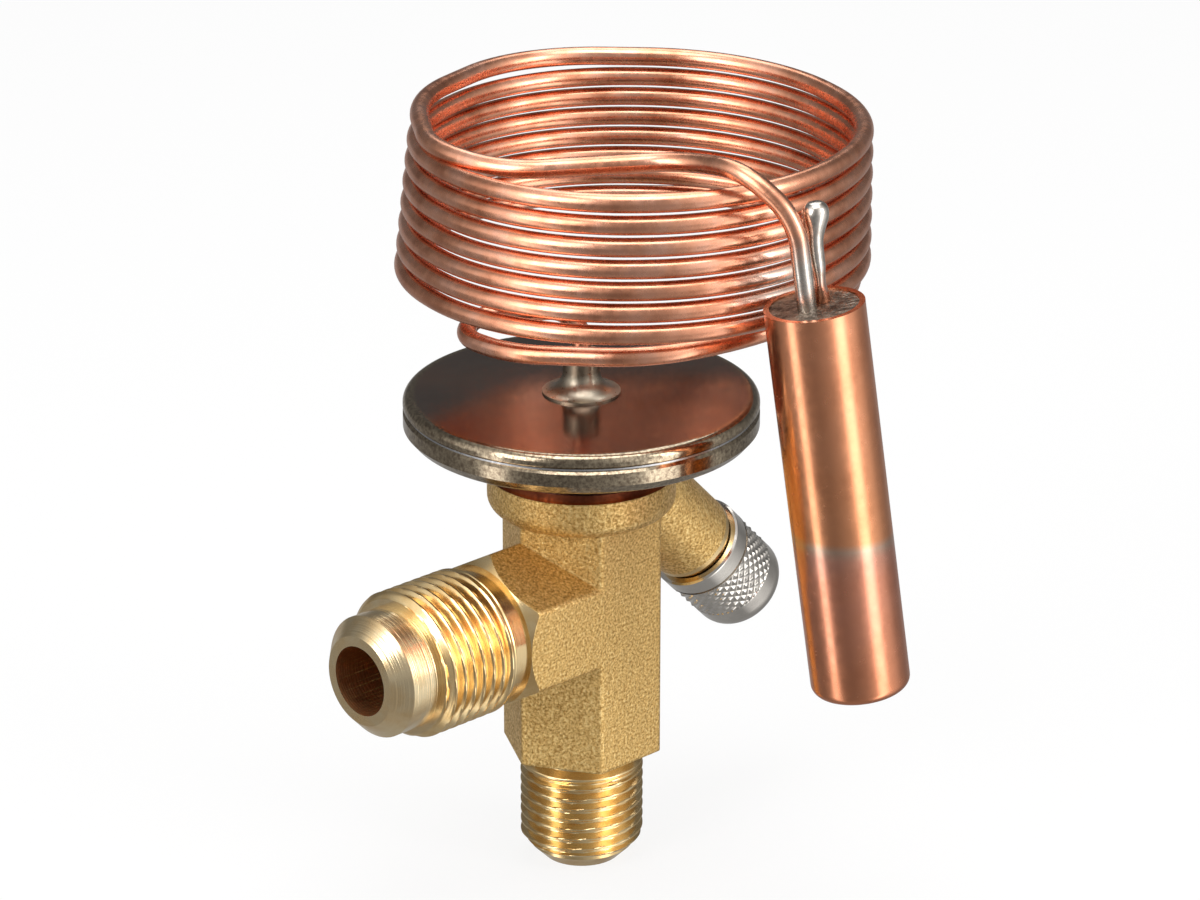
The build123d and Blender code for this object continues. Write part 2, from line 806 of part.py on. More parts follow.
# ------------------------------------------------------------------ setting spindle
pinion_large_root, pinion_large_tip, pinion_small_root, pinion_small_tip = gear_blank(pinion_cone)
thrust_end = spindle_thrust_start + spindle_thrust_length
with BuildPart() as setting_spindle:
    turn(branch_points([
        (pinion_small_root[0], 0),
        pinion_small_root,
        pinion_small_tip,
        pinion_large_tip,
        pinion_large_root,
        (pinion_large_root[0] + seat_gap, spindle_radius),
        (spindle_thrust_start, spindle_radius),
        (spindle_thrust_start, spindle_thrust_radius),
        (thrust_end, spindle_thrust_radius),
        (thrust_end, spindle_radius),
        (spindle_end, spindle_radius),
        (spindle_end, 0),
    ]), branch_axis)
    pinion_side = Vector(0, 1, 0).cross(branch_direction)
    pinion_gap = gear_gap(
        pinion_cone, pinion_teeth, pinion_pitch_radius, branch_direction, pinion_side
    )
    for tooth in range(pinion_teeth):
        turn_angle = (tooth + 0.5) * 360 / pinion_teeth
        add(pinion_gap.rotate(branch_axis, turn_angle), mode=Mode.SUBTRACT)
    slot_plane = Plane(
        origin=branch_apex_point + branch_direction * spindle_end, x_dir=(0, 1, 0),
        z_dir=branch_direction,
    )
    with BuildSketch(slot_plane):
        Rectangle(slot_overrun * spindle_radius, spindle_slot_width)
    extrude(amount=-spindle_slot_depth, mode=Mode.SUBTRACT)
finish(setting_spindle, "setting_spindle")

with BuildPart() as spindle_seal:
    seal_place = branch_points([(gland_start - seal_section_radius - push_gap, mid_radius_of_seal)])[0]
    with BuildSketch(Plane.XZ):
        with Locations(seal_place):
            Circle(seal_section_radius)
    revolve(axis=branch_axis)
finish(spindle_seal, "spindle_seal")

with BuildPart() as spindle_gland:
    turn(branch_points(tube_outline(
        gland_start, gland_end, spindle_radius + running_gap, gland_bore_radius - push_gap
    )), branch_axis)
    gland_slot_plane = Plane(
        origin=branch_apex_point + branch_direction * gland_end, x_dir=(0, 1, 0),
        z_dir=branch_direction,
    )
    with BuildSketch(gland_slot_plane):
        Rectangle(slot_overrun * gland_bore_radius, gland_slot_width)
    extrude(amount=-gland_slot_depth, mode=Mode.SUBTRACT)
finish(spindle_gland, "spindle_gland")

with BuildPart() as cap_gasket:
    turn(branch_points(tube_outline(
        spigot_end, cap_roof, gasket_inner_radius, spigot_radius
    )), branch_axis)
finish(cap_gasket, "cap_gasket")

cap_bore_radius = spigot_radius + running_gap
with BuildPart() as seal_cap:
    turn(
        branch_points([
            (cap_start, cap_bore_radius),
            (cap_start, cap_radius),
            (cap_groove_start, cap_radius),
            (cap_groove_start, cap_radius - cap_groove_depth),
            (cap_groove_start + cap_groove_width, cap_radius - cap_groove_depth),
            (cap_groove_start + cap_groove_width, cap_radius),
            (cap_knurl_end, cap_radius),
            (cap_knurl_end, cap_radius - cap_knurl_step),
            (cap_end, cap_radius - cap_knurl_step),
            (cap_end, 0),
            (cap_relief_end, 0),
            (cap_relief_end, cap_relief_radius),
            (cap_roof, cap_relief_radius),
            (cap_roof, cap_bore_radius),
        ]),
        branch_axis,
        rounded=[(branch_points([(cap_end, cap_radius - cap_knurl_step)])[0], cap_rounding)],
    )
finish(seal_cap, "seal_cap")
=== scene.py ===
import math

import bmesh
import bpy
from mathutils import Matrix, Vector


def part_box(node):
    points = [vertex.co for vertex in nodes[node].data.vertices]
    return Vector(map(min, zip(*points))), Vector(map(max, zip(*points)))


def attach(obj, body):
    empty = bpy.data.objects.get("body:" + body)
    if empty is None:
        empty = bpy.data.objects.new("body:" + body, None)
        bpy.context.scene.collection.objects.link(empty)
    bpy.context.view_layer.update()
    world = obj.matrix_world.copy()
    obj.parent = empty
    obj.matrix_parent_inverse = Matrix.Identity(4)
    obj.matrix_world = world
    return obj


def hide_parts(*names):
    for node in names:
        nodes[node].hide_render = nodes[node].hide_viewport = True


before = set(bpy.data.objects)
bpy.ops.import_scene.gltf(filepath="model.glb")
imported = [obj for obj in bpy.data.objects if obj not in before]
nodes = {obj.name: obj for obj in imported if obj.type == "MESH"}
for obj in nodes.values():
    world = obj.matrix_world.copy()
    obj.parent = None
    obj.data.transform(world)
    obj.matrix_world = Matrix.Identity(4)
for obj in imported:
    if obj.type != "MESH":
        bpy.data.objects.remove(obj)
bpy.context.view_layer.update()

# A thermostatic expansion valve: forged and machined brass, a steel diaphragm head with weld
# colours, a nickel-plated knurled cap and a copper capillary coil with its sensing bulb.
# Metres, in the CAD frame: the origin is the centre of the bottom fitting's end face, +Z runs
# up the body and -X out of the side fitting.

MM = 0.001

# ------------------------------------------------------------------ camera
camera_place = Vector((-0.39315, -0.41175, 0.28178))
camera_aim = Vector((0.00169, -0.00163, 0.05605))
camera_roll = math.radians(0.046)
camera_lens_mm = 145.37
camera_sensor_mm = 36.0

camera_data = bpy.data.cameras.new("camera")
camera_data.lens = camera_lens_mm
camera_data.sensor_width = camera_sensor_mm
camera_data.sensor_fit = "HORIZONTAL"
camera_data.clip_start = 0.01
camera_data.clip_end = 20.0
camera = bpy.data.objects.new("camera", camera_data)
look = (camera_aim - camera_place).to_track_quat("-Z", "Y").to_matrix().to_4x4()
rolled = look @ Matrix.Rotation(camera_roll, 4, "Z")
camera.matrix_world = Matrix.Translation(camera_place) @ rolled
bpy.context.scene.collection.objects.link(camera)
bpy.context.scene.camera = camera
bpy.context.scene.view_settings.view_transform = "Standard"

# ------------------------------------------------------------------ world, lamps and floor
backdrop_white = (1.0, 1.0, 1.0, 1.0)
ambient_strength = 0.42


def node_of(tree, kind, **inputs):
    """Add a node and set its named inputs."""
    node = tree.nodes.new(kind)
    for name, value in inputs.items():
        node.inputs[name.replace("_", " ")].default_value = value
    return node


def ramp_of(tree, stops):
    """Add a colour ramp with (position, colour) stops."""
    ramp = tree.nodes.new("ShaderNodeValToRGB")
    first, last = stops[0], stops[-1]
    ramp.color_ramp.elements[0].position, ramp.color_ramp.elements[0].color = first
    ramp.color_ramp.elements[1].position, ramp.color_ramp.elements[1].color = last
    for position, colour in stops[1:-1]:
        ramp.color_ramp.elements.new(position).color = colour
    return ramp


def grey(level):
    """A grey as a colour."""
    return (level, level, level, 1.0)


camera_side = math.atan2(camera_place.y - camera_aim.y, camera_place.x - camera_aim.x)
toward_camera = (math.cos(camera_side), math.sin(camera_side), 0.0)
to_its_right = (-math.sin(camera_side), math.cos(camera_side), 0.0)


def tent_ramp(tree, share, stops):
    """A ramp of greys round the tent: degrees from the front, to the right, and level."""
    ramp = ramp_of(tree, [((turn + 180) / 360, grey(level)) for turn, level in stops])
    tree.links.new(share, ramp.inputs["Fac"])
    return ramp.outputs["Color"]


def tent_mix(tree, height, low, high, below, above):
    """Pass from one band of the tent to the next between two heights."""
    step = node_of(tree, "ShaderNodeMapRange", From_Min=low, From_Max=high)
    tree.links.new(height, step.inputs["Value"])
    mix = tree.nodes.new("ShaderNodeMix")
    mix.data_type = "RGBA"
    tree.links.new(step.outputs["Result"], mix.inputs["Factor"])
    tree.links.new(below, mix.inputs["A"])
    tree.links.new(above, mix.inputs["B"])
    return mix.outputs["Result"]


def make_world():
    """A light tent: white to the eye; to anything shiny, white sides with dark gaps between."""
    world = bpy.data.worlds.new("studio")
    world.use_nodes = True
    bpy.context.scene.world = world
    tree = world.node_tree
    tree.nodes.clear()
    place = tree.nodes.new("ShaderNodeTexCoord")
    parts = tree.nodes.new("ShaderNodeSeparateXYZ")
    tree.links.new(place.outputs["Generated"], parts.inputs[0])
    turns = []
    for direction in (to_its_right, toward_camera):
        along = tree.nodes.new("ShaderNodeVectorMath")
        along.operation = "DOT_PRODUCT"
        along.inputs[1].default_value = direction
        tree.links.new(place.outputs["Generated"], along.inputs[0])
        turns.append(along.outputs["Value"])
    turn = tree.nodes.new("ShaderNodeMath")
    turn.operation = "ARCTAN2"
    tree.links.new(turns[0], turn.inputs[0])
    tree.links.new(turns[1], turn.inputs[1])
    share = node_of(tree, "ShaderNodeMapRange", From_Min=-math.pi, From_Max=math.pi)
    tree.links.new(turn.outputs[0], share.inputs["Value"])
    share = share.outputs["Result"]
    under = tent_ramp(tree, share, [(-180, 0.32), (180, 0.32)])
    low = tent_ramp(tree, share, [
        (-180, 0.45), (-128, 0.27), (-92, 0.24), (-70, 0.4), (-63, 2.2), (-54, 2.2),
        (-46, 0.45), (-36, 0.26), (-15, 0.22), (0, 0.28), (22, 0.42), (38, 0.8), (46, 2.6),
        (60, 2.8), (70, 0.95), (90, 0.7), (108, 0.35), (130, 0.25), (180, 0.40),
    ])
    middle = tent_ramp(tree, share, [
        (-180, 0.14), (-128, 0.16), (-100, 0.3), (-75, 1.1), (-40, 1.1), (-22, 0.4), (0, 0.3),
        (18, 0.5), (30, 1.2), (75, 1.2), (100, 0.5), (130, 0.16), (180, 0.14),
    ])
    top = tent_ramp(tree, share, [(-180, 0.8), (180, 0.8)])
    bands = tent_mix(tree, parts.outputs["Z"], -0.92, -0.62, under, low)
    bands = tent_mix(tree, parts.outputs["Z"], -0.10, 0.06, bands, middle)
    bands = tent_mix(tree, parts.outputs["Z"], 0.74, 0.90, bands, top)
    rays = tree.nodes.new("ShaderNodeLightPath")
    shiny = node_of(tree, "ShaderNodeBackground", Strength=1.0)
    tree.links.new(bands, shiny.inputs["Color"])
    soft = node_of(tree, "ShaderNodeBackground", Color=grey(1.0), Strength=ambient_strength)
    seen = node_of(tree, "ShaderNodeBackground", Color=backdrop_white, Strength=1.0)
    soft_or_shiny = tree.nodes.new("ShaderNodeMixShader")
    tree.links.new(rays.outputs["Is Glossy Ray"], soft_or_shiny.inputs[0])
    tree.links.new(soft.outputs[0], soft_or_shiny.inputs[1])
    tree.links.new(shiny.outputs[0], soft_or_shiny.inputs[2])
    all_rays = tree.nodes.new("ShaderNodeMixShader")
    tree.links.new(rays.outputs["Is Camera Ray"], all_rays.inputs[0])
    tree.links.new(soft_or_shiny.outputs[0], all_rays.inputs[1])
    tree.links.new(seen.outputs[0], all_rays.inputs[2])
    output = tree.nodes.new("ShaderNodeOutputWorld")
    tree.links.new(all_rays.outputs[0], output.inputs["Surface"])


def add_softbox(name, place, aim, width, height, watts):
    """A rectangular softbox that looks at a point."""
    lamp = bpy.data.lights.new(name, "AREA")
    lamp.shape = "RECTANGLE"
    lamp.size = width
    lamp.size_y = height
    lamp.energy = watts
    box = bpy.data.objects.new(name, lamp)
    place = Vector(place)
    turn = (Vector(aim) - place).to_track_quat("-Z", "Y").to_matrix().to_4x4()
    box.matrix_world = Matrix.Translation(place) @ turn
    bpy.context.scene.collection.objects.link(box)


make_world()
object_middle = (0.0, 0.0, 0.055)
add_softbox("softbox_left", (-0.62, -0.02, 0.34), object_middle, 0.34, 0.50, 1.9)
add_softbox("softbox_right", (0.20, -0.62, 0.30), object_middle, 0.26, 0.50, 1.5)
add_softbox("softbox_top", (-0.05, -0.10, 0.70), object_middle, 0.50, 0.40, 1.9)
add_softbox("softbox_back", (0.28, 0.28, 0.62), object_middle, 0.40, 0.40, 1.0)


floor_glow = 0.85  # how much of the floor the eye sees as plain white, the rest takes shadow


def make_floor():
    """A wide pale floor that shows white to the eye and keeps the object's soft shadow."""
    size = 6.0
    mesh = bpy.data.meshes.new("floor")
    half = size / 2
    corners = [(-half, -half, 0), (half, -half, 0), (half, half, 0), (-half, half, 0)]
    mesh.from_pydata(corners, [], [(0, 1, 2, 3)])
    floor = bpy.data.objects.new("floor", mesh)
    bpy.context.scene.collection.objects.link(floor)
    material = bpy.data.materials.new("floor_white")
    material.use_nodes = True
    tree = material.node_tree
    tree.nodes.clear()
    rays = tree.nodes.new("ShaderNodeLightPath")
    matte = node_of(tree, "ShaderNodeBsdfDiffuse", Color=(0.93, 0.93, 0.93, 1.0))
    glow = node_of(tree, "ShaderNodeEmission", Color=backdrop_white, Strength=1.0)
    seen = tree.nodes.new("ShaderNodeMath")
    seen.operation = "MAXIMUM"
    tree.links.new(rays.outputs["Is Camera Ray"], seen.inputs[0])
    tree.links.new(rays.outputs["Is Transmission Ray"], seen.inputs[1])
    share = tree.nodes.new("ShaderNodeMath")
    share.operation = "MULTIPLY"
    share.inputs[1].default_value = floor_glow
    tree.links.new(seen.outputs[0], share.inputs[0])
    mixed = tree.nodes.new("ShaderNodeMixShader")
    tree.links.new(share.outputs[0], mixed.inputs[0])
    tree.links.new(matte.outputs[0], mixed.inputs[1])
    tree.links.new(glow.outputs[0], mixed.inputs[2])
    clear = node_of(tree, "ShaderNodeBsdfTransparent", Color=backdrop_white)
    through = tree.nodes.new("ShaderNodeMixShader")
    tree.links.new(rays.outputs["Is Glossy Ray"], through.inputs[0])
    tree.links.new(mixed.outputs[0], through.inputs[1])
    tree.links.new(clear.outputs[0], through.inputs[2])
    output = tree.nodes.new("ShaderNodeOutputMaterial")
    tree.links.new(through.outputs[0], output.inputs["Surface"])
    mesh.materials.append(material)


make_floor()


# ------------------------------------------------------------------ materials
def start_material(name, metallic, roughness):
    """A material with its shader's constants set, and its texture coordinates."""
    material = bpy.data.materials.new(name)
    material.use_nodes = True
    tree = material.node_tree
    shader = tree.nodes["Principled BSDF"]
    shader.inputs["Metallic"].default_value = metallic
    shader.inputs["Roughness"].default_value = roughness
    place = tree.nodes.new("ShaderNodeTexCoord")
    return material, tree, shader, place.outputs["Object"]


def noise_of(tree, place, size_mm, detail=3.0, roughness=0.55, stretch=None):
    """Noise whose lumps are about size_mm across, stretched along an axis if asked."""
    if stretch:
        scaled = tree.nodes.new("ShaderNodeMapping")
        scaled.inputs["Scale"].default_value = stretch
        tree.links.new(place, scaled.inputs["Vector"])
        place = scaled.outputs["Vector"]
    noise = node_of(
        tree, "ShaderNodeTexNoise", Scale=1.0 / (size_mm * MM), Detail=detail, Roughness=roughness
    )
    tree.links.new(place, noise.inputs["Vector"])
    return noise.outputs["Fac"]


def colour_between(tree, factor, stops):
    """A colour that follows a factor along ramp stops."""
    ramp = ramp_of(tree, stops)
    tree.links.new(factor, ramp.inputs["Fac"])
    return ramp.outputs["Color"]


def mix_colours(tree, factor, first, second):
    """Mix two colour outputs by a factor output."""
    mix = tree.nodes.new("ShaderNodeMix")
    mix.data_type = "RGBA"
    tree.links.new(factor, mix.inputs["Factor"])
    tree.links.new(first, mix.inputs["A"])
    tree.links.new(second, mix.inputs["B"])
    return mix.outputs["Result"]


def scale_between(tree, value, low_in, high_in, low_out, high_out):
    """Map a value from one span to another, clamped."""
    span = node_of(
        tree, "ShaderNodeMapRange", From_Min=low_in, From_Max=high_in,
        To_Min=low_out, To_Max=high_out,
    )
    tree.links.new(value, span.inputs["Value"])
    return span.outputs["Result"]


def add_bump(tree, shader, heights, rounding_mm=0.0):
    """Chain bumps of (height output, depth in mm) on a shader; rounding softens hard edges."""
    normal = None
    if rounding_mm:
        rounded = node_of(tree, "ShaderNodeBevel", Radius=rounding_mm * MM)
        rounded.samples = 4
        normal = rounded.outputs["Normal"]
    for height, depth_mm in heights:
        bump = node_of(tree, "ShaderNodeBump", Strength=1.0, Distance=depth_mm * MM)
        tree.links.new(height, bump.inputs["Height"])
        if normal:
            tree.links.new(normal, bump.inputs["Normal"])
        normal = bump.outputs["Normal"]
    tree.links.new(normal, shader.inputs["Normal"])


def axis_value(tree, place, axis):
    """One coordinate of a place, in metres."""
    parts = tree.nodes.new("ShaderNodeSeparateXYZ")
    tree.links.new(place, parts.inputs[0])
    return parts.outputs[axis]


def forged_brass():
    """Shot-blasted forging: fine sparkling grain over slow stains."""
    material, tree, shader, place = start_material("forged_brass", 0.82, 0.45)
    grain = noise_of(tree, place, 0.34, detail=3.0, roughness=0.65)
    stain = noise_of(tree, place, 6.0)
    light = colour_between(tree, grain, [
        (0.34, (0.40, 0.23, 0.06, 1)), (0.50, (0.74, 0.48, 0.17, 1)),
        (0.66, (1.0, 0.77, 0.36, 1)),
    ])
    deep = colour_between(tree, grain, [
        (0.34, (0.35, 0.19, 0.05, 1)), (0.50, (0.64, 0.40, 0.13, 1)),
        (0.66, (0.94, 0.67, 0.27, 1)),
    ])
    tree.links.new(mix_colours(tree, stain, light, deep), shader.inputs["Base Color"])
    tree.links.new(scale_between(tree, grain, 0.3, 0.7, 0.56, 0.34), shader.inputs["Roughness"])
    lumps = noise_of(tree, place, 1.3)
    add_bump(tree, shader, [(lumps, 0.12), (grain, 0.09)], rounding_mm=0.6)
    return material


def machined_brass(name, base, dark, line_axis, roughness=0.17, line_mm=0.09, depth_mm=0.006):
    """Turned brass: fine tool lines across the axis it was turned about."""
    material, tree, shader, place = start_material(name, 1.0, roughness)
    along = axis_value(tree, place, line_axis)
    lines = node_of(tree, "ShaderNodeTexNoise", Scale=1.0, Detail=2.0)
    lines.noise_dimensions = "1D"
    fine = tree.nodes.new("ShaderNodeMath")
    fine.operation = "MULTIPLY"
    fine.inputs[1].default_value = 1.0 / (line_mm * MM)
    tree.links.new(along, fine.inputs[0])
    tree.links.new(fine.outputs[0], lines.inputs["W"])
    tarnish = noise_of(tree, place, 3.5, detail=4.0)
    tree.links.new(
        colour_between(tree, tarnish, [(0.35, dark), (0.6, base)]), shader.inputs["Base Color"]
    )
    tree.links.new(
        scale_between(tree, tarnish, 0.3, 0.7, roughness * 1.4, roughness * 0.8),
        shader.inputs["Roughness"],
    )
    add_bump(tree, shader, [(lines.outputs["Fac"], depth_mm)])
    return material


def plain_metal(name, base, dark, roughness, grain_mm=0.5, depth_mm=0.01, stain_mm=4.0):
    """A metal with faint grain and stains."""
    material, tree, shader, place = start_material(name, 1.0, roughness)
    stain = noise_of(tree, place, stain_mm, detail=4.0)
    grain = noise_of(tree, place, grain_mm, detail=3.0)
    tree.links.new(
        colour_between(tree, stain, [(0.35, dark), (0.65, base)]), shader.inputs["Base Color"]
    )
    tree.links.new(
        scale_between(tree, grain, 0.3, 0.7, roughness * 1.3, roughness * 0.8),
        shader.inputs["Roughness"],
    )
    add_bump(tree, shader, [(grain, depth_mm)])
    return material


def soft_material(name, base, dark, roughness):
    """Rubber or plastic with a faint grain."""
    material, tree, shader, place = start_material(name, 0.0, roughness)
    grain = noise_of(tree, place, 0.3)
    tree.links.new(
        colour_between(tree, grain, [(0.3, dark), (0.7, base)]), shader.inputs["Base Color"]
    )
    add_bump(tree, shader, [(grain, 0.02)])
    return material


weld_rim_from = 20.8
weld_rim_full = 21.3


def head_steel():
    """Rolled stainless, browned by welding: charcoal with red-brown patches, smooth and dark."""
    material, tree, shader, place = start_material("head_steel", 1.0, 0.16)
    heat = noise_of(tree, place, 16.0, detail=3.0)
    mottle = noise_of(tree, place, 2.2, detail=5.0, roughness=0.65)
    colour = colour_between(tree, heat, [
        (0.30, (0.17, 0.14, 0.12, 1)),
        (0.50, (0.27, 0.19, 0.155, 1)),
        (0.68, (0.36, 0.21, 0.15, 1)),
    ])
    worn = colour_between(tree, mottle, [
        (0.35, (0.17, 0.145, 0.13, 1)), (0.65, (0.30, 0.24, 0.20, 1)),
    ])
    share = scale_between(tree, mottle, 0.0, 1.0, 0.2, 0.5)
    flat = tree.nodes.new("ShaderNodeVectorMath")
    flat.operation = "MULTIPLY"
    flat.inputs[1].default_value = (1, 1, 0)
    tree.links.new(place, flat.inputs[0])
    out_from_axis = tree.nodes.new("ShaderNodeVectorMath")
    out_from_axis.operation = "LENGTH"
    tree.links.new(flat.outputs[0], out_from_axis.inputs[0])
    at_rim = scale_between(
        tree, out_from_axis.outputs["Value"], weld_rim_from * MM, weld_rim_full * MM, 0.0, 0.9
    )
    speckle = noise_of(tree, place, 0.5, detail=3.0, roughness=0.7)
    weld = colour_between(tree, speckle, [
        (0.35, (0.20, 0.15, 0.10, 1)), (0.65, (0.52, 0.43, 0.30, 1)),
    ])
    mottled = mix_colours(tree, share, colour, worn)
    tree.links.new(mix_colours(tree, at_rim, mottled, weld), shader.inputs["Base Color"])
    tree.links.new(scale_between(tree, mottle, 0.3, 0.7, 0.18, 0.11), shader.inputs["Roughness"])
    rolled = noise_of(tree, place, 0.5, detail=2.0, stretch=(1.0, 0.12, 1.0))
    add_bump(tree, shader, [(rolled, 0.002), (noise_of(tree, place, 0.35), 0.002)])
    return material


def copper(name, roughness, tin_centre=None, tin_reach_mm=0.0, bands=None):
    """Drawn copper with drawn-length streaks; tinned near a point and heat-banded if asked."""
    material, tree, shader, place = start_material(name, 1.0, roughness)
    stain = noise_of(tree, place, 5.0, detail=4.0)
    streak = noise_of(tree, place, 1.2, detail=2.0)
    colour = colour_between(tree, stain, [
        (0.30, (0.62, 0.25, 0.14, 1)),
        (0.50, (0.84, 0.39, 0.24, 1)),
        (0.70, (0.90, 0.48, 0.34, 1)),
    ])
    if bands:
        height = axis_value(tree, place, "Z")
        low, high, stops = bands
        span = scale_between(tree, height, low * MM, high * MM, 0.0, 1.0)
        banded = colour_between(tree, span, stops)
        half = scale_between(tree, stain, 0.2, 0.8, 0.55, 0.85)
        colour = mix_colours(tree, half, colour, banded)
    if tin_centre:
        reach = tree.nodes.new("ShaderNodeVectorMath")
        reach.operation = "DISTANCE"
        reach.inputs[1].default_value = tin_centre
        tree.links.new(place, reach.inputs[0])
        near = scale_between(
            tree, reach.outputs["Value"], tin_reach_mm * 0.6 * MM, tin_reach_mm * MM, 1.0, 0.0
        )
        tin = colour_between(tree, streak, [
            (0.3, (0.50, 0.44, 0.38, 1)), (0.7, (0.78, 0.72, 0.66, 1)),
        ])
        colour = mix_colours(tree, near, colour, tin)
    tree.links.new(colour, shader.inputs["Base Color"])
    tree.links.new(
        scale_between(tree, streak, 0.3, 0.7, roughness * 1.25, roughness * 0.8),
        shader.inputs["Roughness"],
    )
    add_bump(tree, shader, [(streak, 0.002)])
    return material


bulb_low, bulb_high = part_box("bulb")
plug_low, plug_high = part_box("bulb_plug")
bulb_mouth = tuple((low + high) / 2 for low, high in zip(plug_low, plug_high))
bulb_bands = (bulb_low[2] / MM, bulb_high[2] / MM, [
    (0.00, (0.72, 0.26, 0.12, 1)),
    (0.33, (0.82, 0.32, 0.20, 1)),
    (0.385, (0.74, 0.35, 0.25, 1)),
    (0.41, (0.62, 0.45, 0.34, 1)),
    (0.43, (0.86, 0.35, 0.15, 1)),
    (1.00, (0.92, 0.36, 0.18, 1)),
])

FORGED = forged_brass()
turned_base, turned_dark = (0.94, 0.71, 0.38, 1), (0.82, 0.55, 0.24, 1)
TURNED = machined_brass("turned_brass", turned_base, turned_dark, "Z")
TURNED_SIDE = machined_brass("turned_brass_side", turned_base, turned_dark, "X")
INNER_BRASS = machined_brass(
    "inner_brass", (0.90, 0.70, 0.34, 1), (0.80, 0.58, 0.24, 1), "Z", 0.25
)
HEAD = head_steel()
FLARE = machined_brass(
    "flare_brass", (0.98, 0.79, 0.49, 1), (0.88, 0.63, 0.33, 1), "X", 0.20,
    line_mm=0.22, depth_mm=0.03,
)
# The bore's brass is darker and redder than the turned brass: the brass's own colour plus painted
# shade inside the bore.
BORE_BRASS_PAINTED_SHADE = machined_brass(
    "bore_brass_painted_shade", (0.66, 0.34, 0.15, 1), (0.44, 0.19, 0.08, 1), "X", 0.42,
    line_mm=0.3, depth_mm=0.04,
)
# The joint ring's braze red is darkened almost to black: real braze colour plus painted shade of
# the narrow gap between the collar and the head.
BRAZE_RED_AND_GAP_SHADE = plain_metal(
    "braze_red_and_gap_shade", (0.24, 0.065, 0.028, 1), (0.10, 0.026, 0.013, 1), 0.5, depth_mm=0.03
)
FERRULE = plain_metal("ferrule_steel", (0.42, 0.36, 0.28, 1), (0.28, 0.24, 0.18, 1), 0.32)
COPPER = copper("capillary_copper", 0.26, bulb_mouth, 11.0)
BULB = copper("bulb_copper", 0.22, bands=bulb_bands)
TINNED = plain_metal(
    "tinned_copper", (0.82, 0.77, 0.71, 1), (0.58, 0.52, 0.46, 1), 0.24, depth_mm=0.02
)
SOLDER = plain_metal(
    "solder_dark", (0.30, 0.25, 0.20, 1), (0.06, 0.045, 0.035, 1), 0.42, 0.8,
    depth_mm=0.5, stain_mm=1.6,
)
NICKEL = plain_metal(
    "nickel_plate", (0.72, 0.68, 0.62, 1), (0.62, 0.58, 0.53, 1), 0.16, depth_mm=0.004
)
STEEL = plain_metal("ground_steel", (0.66, 0.65, 0.64, 1), (0.52, 0.51, 0.50, 1), 0.25)
SPRING = plain_metal("spring_steel", (0.58, 0.58, 0.59, 1), (0.42, 0.42, 0.44, 1), 0.30)
MESH = plain_metal(
    "strainer_weave", (0.66, 0.65, 0.63, 1), (0.40, 0.39, 0.38, 1), 0.40, 0.25, 0.12
)
RUBBER = soft_material("seal_rubber", (0.035, 0.035, 0.035, 1), (0.015, 0.015, 0.015, 1), 0.5)
PTFE = soft_material("gasket_white", (0.86, 0.85, 0.81, 1), (0.76, 0.75, 0.71, 1), 0.45)

MATERIAL_OF = {
    "orifice_body": INNER_BRASS, "valve_cone": STEEL, "cone_spring": SPRING,
    "spring_retainer": INNER_BRASS, "strainer_collar": INNER_BRASS, "strainer_mesh": MESH,
    "strainer_end": MESH, "push_pin": STEEL, "crown_wheel": INNER_BRASS,
    "spring_seat": INNER_BRASS, "superheat_spring": SPRING, "pressure_pad": STEEL,
    "diaphragm": SPRING, "joint_ring": BRAZE_RED_AND_GAP_SHADE, "head_base": HEAD, "head_cover": HEAD,
    "capillary_ferrule": FERRULE, "bulb": BULB, "bulb_plug": SOLDER, "fill_tube": TINNED,
    "capillary_tube": COPPER, "setting_spindle": STEEL, "spindle_seal": RUBBER,
    "spindle_gland": INNER_BRASS, "cap_gasket": PTFE, "seal_cap": NICKEL, "valve_body": FORGED,
}
for name, material in MATERIAL_OF.items():
    slots = nodes[name].data.materials
    slots.clear()
    slots.append(material)


# ------------------------------------------------------------------ mesh helpers
def link_piece(name, mesh, body):
    """Make an object of a mesh, riding on a CAD body."""
    piece = bpy.data.objects.new(name, mesh)
    bpy.context.scene.collection.objects.link(piece)
    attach(piece, body)
    return piece


def smooth_mesh(mesh, sharp_degrees):
    """Smooth shading that keeps edges sharper than an angle."""
    shaped = bmesh.new()
    shaped.from_mesh(mesh)
    for face in shaped.faces:
        face.smooth = True
    limit = math.radians(sharp_degrees)
    for edge in shaped.edges:
        edge.smooth = len(edge.link_faces) != 2 or edge.calc_face_angle(0.0) < limit
    shaped.to_mesh(mesh)
    shaped.free()


def wrapped_surface(name, rings, closed_ring=True):
    """A mesh from rings of points, each ring joined to the next."""
    mesh = bpy.data.meshes.new(name)
    count = len(rings[0])
    points = [point for ring in rings for point in ring]
    faces = []
    last = count if closed_ring else count - 1
    for row in range(len(rings) - 1):
        for step in range(last):
            after = (step + 1) % count
            faces.append((
                row * count + step, row * count + after, (row + 1) * count + after,
                (row + 1) * count + step,
            ))
    mesh.from_pydata(points, [], faces)
    mesh.validate()
    return mesh


# ------------------------------------------------------------------ forged body and its threads
inlet_thread = {
    "start": 2.4, "chamfer": 0.7, "end": 13.6, "radius": 7.94, "root_runout": 0.84,
    "relief": 7.1, "pitch": 25.4 / 18,
}
outlet_thread = {
    "start": 6.3, "chamfer": 0.8, "end": 17.5, "radius": 9.525, "root_runout": 0.825,
    "relief": 8.7, "pitch": 25.4 / 16,
}
outlet_reach = 37.7
outlet_height = 35.8
inlet_frame = Matrix.Identity(4)
outlet_frame = Matrix.Translation((-outlet_reach * MM, 0, outlet_height * MM)) @ Matrix(
    ((0, 0, 1, 0), (0, 1, 0, 0), (-1, 0, 0, 0), (0, 0, 0, 1))
)


def thread_height(phase, pitch):
    """How far a 60 degree thread stands over its root at a phase, with a flat crest and root."""
    crest_share, root_share = 0.16, 0.20
    tall = 0.6134 * pitch
    share = abs(phase - 0.5) * 2
    flank = (share - root_share) / (1 - crest_share - root_share)
    return tall * min(1.0, max(0.0, flank))


